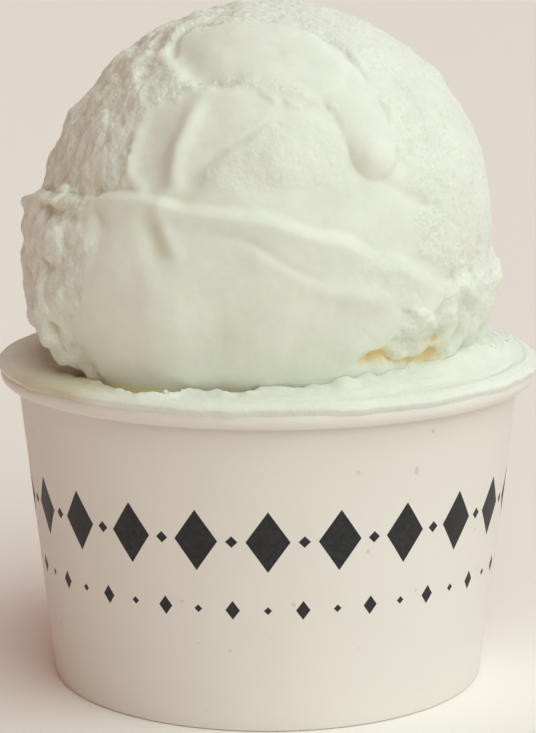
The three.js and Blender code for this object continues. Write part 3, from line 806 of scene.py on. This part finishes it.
class CUP_OT_base(bpy.types.Operator):
    """Extrudes the recessed base from its turned-down edge to its middle and thickens it into board"""
    bl_idname = "gelato_cup.base"
    bl_label = "Paper base"

    def execute(self, context):
        cup = context.scene.cup_settings
        radius = cup.foot_radius - 1.5 * cup.board - BASE_GAP
        level = cup.disc_height + cup.board / 2
        line = [(radius, BASE_FOOT), (radius, level - BASE_BEND)]
        for angle in np.radians([30, 60, 90]):
            line.append((radius - BASE_BEND * (1 - math.cos(angle)),
                         level - BASE_BEND * (1 - math.sin(angle))))
        line += [(radius * share, level) for share in (0.93, 0.8, 0.6, 0.4, 0.2)]
        deselect()
        bpy.ops.mesh.primitive_circle_add(
            vertices=cup.facets // 2, radius=line[0][0], location=(0, 0, line[0][1]))
        piece = begin("paper_base")
        edit_all()
        extrude_rings(line)
        close_middle()
        finish_editing()
        apply_modifier(piece, "SOLIDIFY", thickness=cup.board, offset=0.0, use_even_offset=True)
        finish_piece(piece, board_material(cup, printed=False), BOARD_CREASE, "cup_base_disc")
        return {"FINISHED"}


# Heaps on the fill: azimuth, radius and height of each, and its reach round and across in mm
HEAPS = [
    (40, 31, 2.0, 16, 6),
    (85, 32, 2.6, 18, 7),
    (130, 37, 2.0, 16, 5),
    (-75, 33, 0.2, 18, 7),
]

# Marks that the spade dragged round the fill: start and end azimuth, start and end radius, half width and
# rise in mm
DRAGS = [
    (-8, 82, 41.2, 41.6, 0.45, 0.3),
    (52, 78, 40.2, 40.6, 0.3, -0.3),
    (76, 128, 38.5, 39.5, 0.4, 0.3),
    (82, 120, 36, 37.5, 0.5, -0.35),
    (90, 140, 41.3, 40.5, 0.35, 0.35),
    (70, 118, 33.5, 35, 0.6, 0.2),
    (12, 58, 36.5, 38, 0.9, 0.15),
    (-64, -22, 39.5, 41, 0.7, 0.2),
    (-100, -60, 37, 38.5, 0.9, 0.2),
    (150, 215, 38, 40, 0.6, 0.3),
]

# The ragged lip that the scoop pushed up round itself: azimuth, radius, height, and the drop behind it in mm
LIP = [(-100, 38, 0, 0), (-60, 36, 0.2, 0.5), (-47, 36, 0.4, 1), (-42, 37.2, 0.5, 1.2), (-37, 39, 0.5, 1.2),
       (-29, 40.2, 0.4, 1.2), (-24, 39, 0.6, 1.1), (-20, 34.6, 0.7, 0.9), (-15, 33.2, 0.9, 0.8),
       (-9, 33.7, 0.9, 0.6), (1, 32.8, 0.7, 0.4), (9, 32.2, 0.5, 0.3), (20, 31.5, 0.8, 0), (40, 31, 1, 0),
       (80, 32, 0.6, 0), (120, 33, 0.3, 0)]

# Radii between which the struck fill slopes up to the smear on the rim, and how far it stays below the smear
SLOPE_RADII = [34 * MM, 40 * MM]
SMEAR_STEP = 0.2 * MM

# The smear on the roll, with angles in degrees up from its outermost point: where the fill's skin comes out
# from behind the paper, how deep it lies there, the edge of the smear, the angles over which it takes on its
# lip and its full height, the lip's height, and how far the skin beyond the edge lies under the paper's face
SMEAR_START = 12
HIDDEN_DEPTH = 0.04 * MM
SMEAR_EDGE = 27
LIP_RUN = 7
SMEAR_RUN = 18
LIP_HEIGHT = 0.1 * MM
SKIN_DEPTH = 0.03 * MM

# The gap between the base and the fill, and how far the fill's bottom corner lies inside the wall
FILL_GAP = 0.05 * MM
CORNER_GAP = 0.1 * MM

# The left of the fill lies in the scoop's shadow, which is painted in: azimuths where that shade starts, is
# full, begins to end and has ended, and its share of the deep cream
FILL_LEFT_SHADE = (-75, -58, -46, -34)
FILL_LEFT_SHADE_SHARE = 0.8


def struck_level(gelato, radius):
    """Height of the fill without its relief, in metres."""
    return np.interp(radius, SLOPE_RADII, [gelato.fill_level, gelato.smear_top - SMEAR_STEP])


def fill_relief(x, y):
    """Height of the fill over its level, in mm."""
    radius = np.hypot(x, y)
    azimuth = np.degrees(np.arctan2(x, -y))
    total = np.zeros(len(x))
    for heap_azimuth, heap_radius, height, reach_round, reach_across in HEAPS:
        way = np.radians((azimuth - heap_azimuth + 180) % 360 - 180) * heap_radius / reach_round
        total += height * np.exp(-way ** 2 - ((radius - heap_radius) / reach_across) ** 2)
    for start, end, radius1, radius2, width, rise in DRAGS:
        share = ((azimuth - start) % 360) / (end - start)
        middle = radius1 + (radius2 - radius1) * share
        fade = smoothstep(share, 0, 0.15) * (1 - smoothstep(share, 0.8, 1))
        total += rise * fade * np.exp(-((radius - middle) / width) ** 2)
    lip_azimuth, lip_radius, lip_height, lip_drop = np.array(LIP).T
    flat = np.stack([x, y, np.zeros(len(x))], axis=1)
    crumbled = smoothstep(lumps(flat + 9, 2.2) + 0.4 * lumps(flat, 1.1), -0.5, 0.5)
    outside = radius - np.interp(azimuth, lip_azimuth, lip_radius) + lumps(flat, 3) + 0.4 * lumps(flat, 1.2)
    height = np.interp(azimuth, lip_azimuth, lip_height) * (0.4 + 0.9 * crumbled)
    total += height * smoothstep(outside, -0.4, 0.2) * (1 - smoothstep(outside, 0.3, 4))
    total -= np.interp(azimuth, lip_azimuth, lip_drop) * (1 - smoothstep(outside, -0.9, 0))
    return total + 0.15 * lumps(flat, 5) + 0.08 * lumps(flat, 1.7)


class GELATO_OT_fill(bpy.types.Operator):
    """Extrudes the gelato in the cup up its wall and over its rim, and shapes its struck surface"""
    bl_idname = "gelato_cup.fill"
    bl_label = "Gelato in the cup"

    def execute(self, context):
        cup, gelato = context.scene.cup_settings, context.scene.gelato_settings
        floor = cup.disc_height + cup.board + FILL_GAP
        inside = [cup.foot_radius - cup.board, cup.rim_radius - 2 * cup.roll_radius]
        line = [(np.interp(floor, [0, cup.height], inside) - CORNER_GAP, floor)]
        line += round_the_roll(cup, cup.roll_radius - HIDDEN_DEPTH, 180, SMEAR_START, 21)
        line += round_the_roll(cup, cup.roll_radius, SMEAR_START + 1, 90, 24)
        radii = np.concatenate([np.arange(41.65, 26, -0.35), np.arange(25, 2, -3)]) * MM
        line += list(zip(radii, struck_level(gelato, radii)))
        deselect()
        bpy.ops.mesh.primitive_circle_add(
            vertices=480, radius=line[0][0], location=(0, 0, floor), fill_type="NGON")
        piece = begin("gelato_in_cup")
        edit_all()
        bpy.ops.mesh.select_mode(type="EDGE")
        bpy.ops.mesh.region_to_loop()
        extrude_rings(line)
        close_middle()
        bpy.ops.mesh.select_all(action="SELECT")
        bpy.ops.mesh.remove_doubles(threshold=0.001 * MM)
        finish_editing()
        points = points_of(piece)
        self.smear(points, cup, gelato)
        set_points(piece, points)
        # Painted shade on the fill's left, where the scoop shades it, and in its crevices
        azimuth = np.degrees(np.arctan2(points[:, 0], -points[:, 1]))
        start, full, ending, end = FILL_LEFT_SHADE
        fill_left_shade = FILL_LEFT_SHADE_SHARE * smoothstep(azimuth, start, full) * (1 - smoothstep(azimuth, ending, end))
        deep = crevices(piece, passes=20, depth=0.5 * MM)
        set_marks(piece, icy=0.5, painted_shade=np.maximum(0.3 * deep, fill_left_shade), yellow_shade=0)
        # Light goes no deeper than the smear is thick, or the paper under its edge would darken it
        material = gelato_material(gelato, "struck_white_gelato", 0.1 * MM)
        finish_piece(piece, material, GELATO_CREASE, "gelato_fill")
        return {"FINISHED"}

    def smear(self, points, cup, gelato):
        """Raises the struck surface into its heaps and marks, and thins the smear to a ragged edge."""
        radius = np.hypot(points[:, 0], points[:, 1])
        roll = (cup.rim_radius - cup.roll_radius, cup.height - cup.roll_radius)
        out, up = radius - roll[0], points[:, 2] - roll[1]
        angle = np.degrees(np.arctan2(up, out))
        over = np.hypot(out, up) > cup.roll_radius - 0.01 * MM
        over &= (angle > SMEAR_START + 0.5) & (angle < 90.5)
        flat = points * [1, 1, 0] / MM
        edge = SMEAR_EDGE + 6 * lumps(flat, 6) + 4 * lumps(flat + 5, 1.3)
        relief = fill_relief(points[:, 0] / MM, points[:, 1] / MM) * MM
        top = gelato.smear_top - cup.height
        thickness = (top + 0.5 * relief) * smoothstep(angle, edge, edge + SMEAR_RUN)
        thickness += LIP_HEIGHT * smoothstep(angle, edge, edge + LIP_RUN)
        share = np.where(over, 1 + (thickness - SKIN_DEPTH) / cup.roll_radius, 1)
        points[:, :2] *= ((roll[0] + out * share) / np.maximum(radius, 1e-6))[:, None]
        points[:, 2] = roll[1] + up * share
        surface = (points[:, 2] > cup.height + 0.3 * MM) & ~over
        crest = 0.5 * relief * smoothstep(angle, 60, 90)
        points[:, 2] += np.where(surface, relief, np.where(over, crest, 0))


# Noise that roughens the scoop: name, size and height in mm, the corners that it moves, and how many finer
# layers it has
ROUGHNESS = [
    ("soft_unevenness", 6, 0.5, "all_over", 1),
    ("soft_ripples", 2.5, 0.12, "all_over", 1),
    ("torn_swells", 6, 1.8, "torn_places", 1),
    ("torn_lumps", 3, 1, "torn_places", 3),
    ("icy_lumps", 2, 0.4, "icy_places", 3),
    ("icy_grit", 1, 0.22, "icy_places", 1),
]

# The ball's front is subdivided once more, as far as this past its middle and below its seat
FRONT_MARGIN = 2 * MM
# The shown scoop goes this far below the solid one's seat, so that no gap shows under it
SUNK_SEAT = 0.4 * MM
# How icy the grainy strokes are, and the depth of the pits in icy places in mm
GRAINY_ICE = 0.4
PIT_DEPTH = 0.15
# How deep the painted shade is in crevices, how much deeper on the shaded left, and how deep in the painted
# patches of shade there
CREVICE_SHADE = 0.3
LEFT_SHADE = 0.4
PATCH_SHADE = 0.28
# How strong the painted yellow shadow is where the scoop meets the fill, and in the hollows where they aren't
# deep
CONTACT_SHADE = 0.75
HOLLOW_SHADE = 0.25


def gelato_finish(context):
    """The material of the scoop and its crumbs, made once."""
    made = bpy.data.materials.get("churned_white_gelato")
    return made or gelato_material(context.scene.gelato_settings, "churned_white_gelato", 0.5 * MM)


class GELATO_OT_scoop(bpy.types.Operator):
    """Shapes the scoop from a ball: its ledge, skirt, tongue and torn edges"""
    bl_idname = "gelato_cup.scoop"
    bl_label = "Scoop"

    def execute(self, context):
        gelato = context.scene.gelato_settings
        centre = np.array([0, 0, gelato.ball_centre])
        deselect()
        bpy.ops.mesh.primitive_ico_sphere_add(subdivisions=7, radius=gelato.ball_radius, location=centre)
        piece = begin("gelato_scoop_ball")
        middles = face_centres(piece) - centre
        seat = gelato.seat_level - gelato.ball_centre
        front = (middles[:, 1] < FRONT_MARGIN) & (middles[:, 2] > seat - FRONT_MARGIN)
        select_faces(piece, front)
        bpy.ops.object.mode_set(mode="EDIT")
        bpy.ops.mesh.select_mode(type="FACE")
        bpy.ops.mesh.subdivide(number_cuts=1)
        bpy.ops.object.mode_set(mode="OBJECT")
        directions = points_of(piece) - centre
        directions /= np.linalg.norm(directions, axis=1)[:, None]
        icy, left = self.shape(piece, gelato, centre, directions)
        for name, size, height, group, detail in ROUGHNESS:
            roughen(piece, name, size * MM, height * MM, group, detail)
        piece.vertex_groups.clear()
        self.mark(piece, gelato, directions, icy, left)
        edit_all()
        # The default threshold would snap points to the cut from a tenth of a millimetre off
        bpy.ops.mesh.bisect(
            plane_co=(0, 0, gelato.seat_level - SUNK_SEAT), plane_no=(0, 0, 1), use_fill=True,
            clear_inner=True, threshold=0.0001 * MM)
        bpy.ops.object.mode_set(mode="OBJECT")
        finish_piece(piece, gelato_finish(context), GELATO_CREASE, "gelato_scoop")
        return {"FINISHED"}

    def shape(self, piece, gelato, centre, directions):
        """Moves the ball out to the scoop's relief and paints the groups for the noise. Returns how icy each
        corner is, all over and on the left alone."""
        ball_radius = gelato.ball_radius / MM
        icy = 1 - stroke_share(WIPED, directions, ball_radius)
        icy = np.maximum(icy, GRAINY_ICE * stroke_share(GRAINY, directions, ball_radius))
        radius = scoop_radius(directions, ball_radius)
        radius -= PIT_DEPTH * icy * smoothstep(lumps(directions * ball_radius + 3, 1.5), 0.25, 0.6)
        set_points(piece, centre + directions * radius[:, None] * MM)
        azimuth, elevation = directions_to_angles(directions)
        left = icy * smoothstep(np.abs(azimuth + 90), 70, 20)
        paint_group(piece, "icy_places", icy)
        paint_group(piece, "torn_places", np.maximum(left, icy * smoothstep(-elevation, -2, 12)))
        paint_group(piece, "all_over", np.ones(len(icy)))
        return icy, left

    def mark(self, piece, gelato, directions, icy, left):
        """Marks the icy places and paints in shade: olive in the crevices, on the shaded left and in patches
        there, and yellow in the torn hollows and where the scoop meets the fill.
        """
        ball_radius = gelato.ball_radius / MM
        azimuth, _ = directions_to_angles(directions)
        above = (points_of(piece)[:, 2] - gelato.fill_level) / MM
        # Painted yellow shadow on the scoop just above the fill, everywhere but on the right
        contact = CONTACT_SHADE * (1 - smoothstep(above, -0.2, 1.2)) * (1 - smoothstep(azimuth, 0, 40))
        deep = crevices(piece, passes=24, depth=0.4 * MM)
        hollows = stroke_share(YELLOW_SHADED_HOLLOWS, directions, ball_radius)
        hollows *= HOLLOW_SHADE + (1 - HOLLOW_SHADE) * deep
        # Patches of painted olive shade on the shaded left
        shade_patches = stroke_share(SHADED_LEFT_PATCHES, directions, ball_radius)
        shade_patches *= smoothstep(lumps(directions * ball_radius, 2.2), -0.6, 0.2)
        # Painted shade in the crevices, deeper on the shaded left, and in patches there
        painted_shade = np.maximum(deep * (CREVICE_SHADE + LEFT_SHADE * left), PATCH_SHADE * shade_patches)
        set_marks(piece, icy=icy, painted_shade=painted_shade, yellow_shade=np.maximum(contact, hollows))


# Where crumbs lie round the scoop: azimuth from and to, radius from and to in mm, the largest half width in
# mm and the share of all crumbs
CRUMB_FIELDS = [
    (-36, -16, 36, 39, 0.9, 0.3),
    (60, 130, 36, 40, 0.7, 0.3),
    (130, 275, 35, 40, 0.9, 0.4),
]
# A crumb's height as a share of its width, how uneven it is, and how deep it sits in half widths
CRUMB_FLATNESS = 0.6
CRUMB_DENTS = 0.35
CRUMB_SINK = 0.1


class GELATO_OT_crumbs(bpy.types.Operator):
    """Scatters crumbs of gelato round the scoop, each dented on its own"""
    bl_idname = "gelato_cup.crumbs"
    bl_label = "Crumbs"

    def execute(self, context):
        gelato = context.scene.gelato_settings
        draw = np.random.default_rng(gelato.seed)
        deselect()
        bpy.ops.mesh.primitive_ico_sphere_add(subdivisions=3, radius=1 * MM)
        first = begin("gelato_crumbs")
        ball = points_of(first)
        crumbs = []
        for from_azimuth, to_azimuth, from_radius, to_radius, largest, share in CRUMB_FIELDS:
            for _ in range(round(share * gelato.crumbs)):
                azimuth = math.radians(draw.uniform(from_azimuth, to_azimuth))
                radius = draw.uniform(from_radius, to_radius)
                half = largest * draw.uniform(0.3, 1) ** 1.5
                x, y = radius * math.sin(azimuth), -radius * math.cos(azimuth)
                level = struck_level(gelato, radius * MM) / MM
                z = level + fill_relief(np.array([x]), np.array([y]))[0] - CRUMB_SINK * half
                halves = half * draw.uniform(0.7, 1.3, 3) * [1, 1, CRUMB_FLATNESS]
                crumbs.append((np.array([x, y, z]), halves))
        copies = []
        for place, halves in crumbs:
            copy = first.copy()
            copy.data = first.data.copy()
            context.collection.objects.link(copy)
            dented = ball * (1 + CRUMB_DENTS * lumps(ball / MM + place, 0.7))[:, None]
            set_points(copy, dented * halves + place * MM)
            copies.append(copy)
        bpy.data.objects.remove(first)
        deselect()
        for copy in copies:
            copy.select_set(True)
        context.view_layer.objects.active = copies[0]
        bpy.ops.object.join()
        piece = context.active_object
        piece.name = "gelato_crumbs"
        piece.data.name = "gelato_crumbs"
        set_marks(piece, icy=1, painted_shade=0, yellow_shade=0)
        finish_piece(piece, gelato_finish(context), GELATO_CREASE)
        return {"FINISHED"}


# Stage

# The floor reaches past the horizon that the camera sees
FLOOR_SIZE = 80


class STAGE_OT_studio(bpy.types.Operator):
    """Sets a pale floor, soft studio light and the camera"""
    bl_idname = "gelato_cup.studio"
    bl_label = "Studio"

    def execute(self, context):
        stage = context.scene.stage_settings
        deselect()
        bpy.ops.mesh.primitive_plane_add(size=FLOOR_SIZE, location=(0, 0, 0))
        floor = begin("studio_floor")
        floor.data.materials.append(self.floor_material(stage))
        self.soft_light("key_light", stage.key_strength, stage.key_colour, stage.key_softness,
                        stage.key_azimuth, stage.key_elevation)
        # This one keeps the scoop's right side from going flat
        self.soft_light("back_light", stage.back_strength, stage.back_colour, stage.back_softness,
                        stage.back_azimuth, stage.back_elevation)
        world = bpy.data.worlds.new("studio_sky")
        world.use_nodes = True
        sky = world.node_tree.nodes["Background"].inputs
        sky["Color"].default_value = (*stage.sky_colour, 1)
        sky["Strength"].default_value = stage.sky_strength
        context.scene.world = world
        context.scene.view_settings.view_transform = "Standard"
        self.camera(context, stage)
        return {"FINISHED"}

    def floor_material(self, stage):
        """Matt white seamless paper: no gloss, and a faint tooth where the light grazes it."""
        material, tree = new_material("matt_white_paper_sweep")
        place = add(tree, "TexCoord").outputs["Object"]
        fibre = add(tree, "TexNoise", {"Vector": place, "Scale": 1 / (3 * MM), "Detail": 3.0})
        bump = add(tree, "Bump", {"Height": fibre.outputs["Fac"], "Strength": 0.1, "Distance": FIBRE_HEIGHT})
        shader = add(tree, "BsdfPrincipled", {
            "Base Color": (*stage.floor_colour, 1), "Roughness": 0.85, "Normal": bump.outputs["Normal"]})
        add(tree, "OutputMaterial", {"Surface": shader.outputs["BSDF"]})
        return material

    def soft_light(self, name, strength, colour, softness, azimuth, elevation):
        """A wide soft light from far off, as from a large window."""
        bpy.ops.object.light_add(type="SUN")
        lamp = bpy.context.active_object
        lamp.name = name
        lamp.data.energy = strength
        lamp.data.angle = softness
        lamp.data.color = colour
        level = math.cos(elevation)
        away = Vector((level * math.sin(azimuth), -level * math.cos(azimuth), math.sin(elevation)))
        lamp.rotation_euler = (-away).to_track_quat("-Z", "Y").to_euler()

    def camera(self, context, stage):
        """The camera at the photograph's angle. Its long side is upright."""
        bpy.ops.object.camera_add(
            location=(0, -stage.distance, stage.camera_height), rotation=(math.pi / 2 - stage.pitch, 0, 0))
        camera = context.active_object
        camera.name = "camera"
        camera.data.sensor_width = 36
        camera.data.lens = stage.lens
        camera.data.clip_start = 0.01
        camera.data.clip_end = 100
        context.scene.camera = camera


class GELATO_PT_panel(bpy.types.Panel):
    """Lists the steps that build the gelato cup"""
    bl_idname = "GELATO_PT_panel"
    bl_label = "Gelato cup"
    bl_space_type = "VIEW_3D"
    bl_region_type = "UI"
    bl_category = "Gelato cup"

    def draw(self, context):
        for step in STEPS:
            self.layout.operator(step.bl_idname)


STEPS = (CUP_OT_wall, CUP_OT_base, GELATO_OT_fill, GELATO_OT_scoop, GELATO_OT_crumbs, STAGE_OT_studio)
CLASSES = (CupSettings, GelatoSettings, StageSettings, *STEPS, GELATO_PT_panel)


def register():
    for cls in CLASSES:
        bpy.utils.register_class(cls)
    bpy.types.Scene.cup_settings = PointerProperty(type=CupSettings)
    bpy.types.Scene.gelato_settings = PointerProperty(type=GelatoSettings)
    bpy.types.Scene.stage_settings = PointerProperty(type=StageSettings)


def unregister():
    del bpy.types.Scene.stage_settings
    del bpy.types.Scene.gelato_settings
    del bpy.types.Scene.cup_settings
    for cls in reversed(CLASSES):
        bpy.utils.unregister_class(cls)


def main():
    """Builds the gelato cup step by step."""
    register()
    bpy.ops.gelato_cup.wall()
    bpy.ops.gelato_cup.base()
    bpy.ops.gelato_cup.fill()
    bpy.ops.gelato_cup.scoop()
    bpy.ops.gelato_cup.crumbs()
    bpy.ops.gelato_cup.studio()


if __name__ == "__main__":
    main()
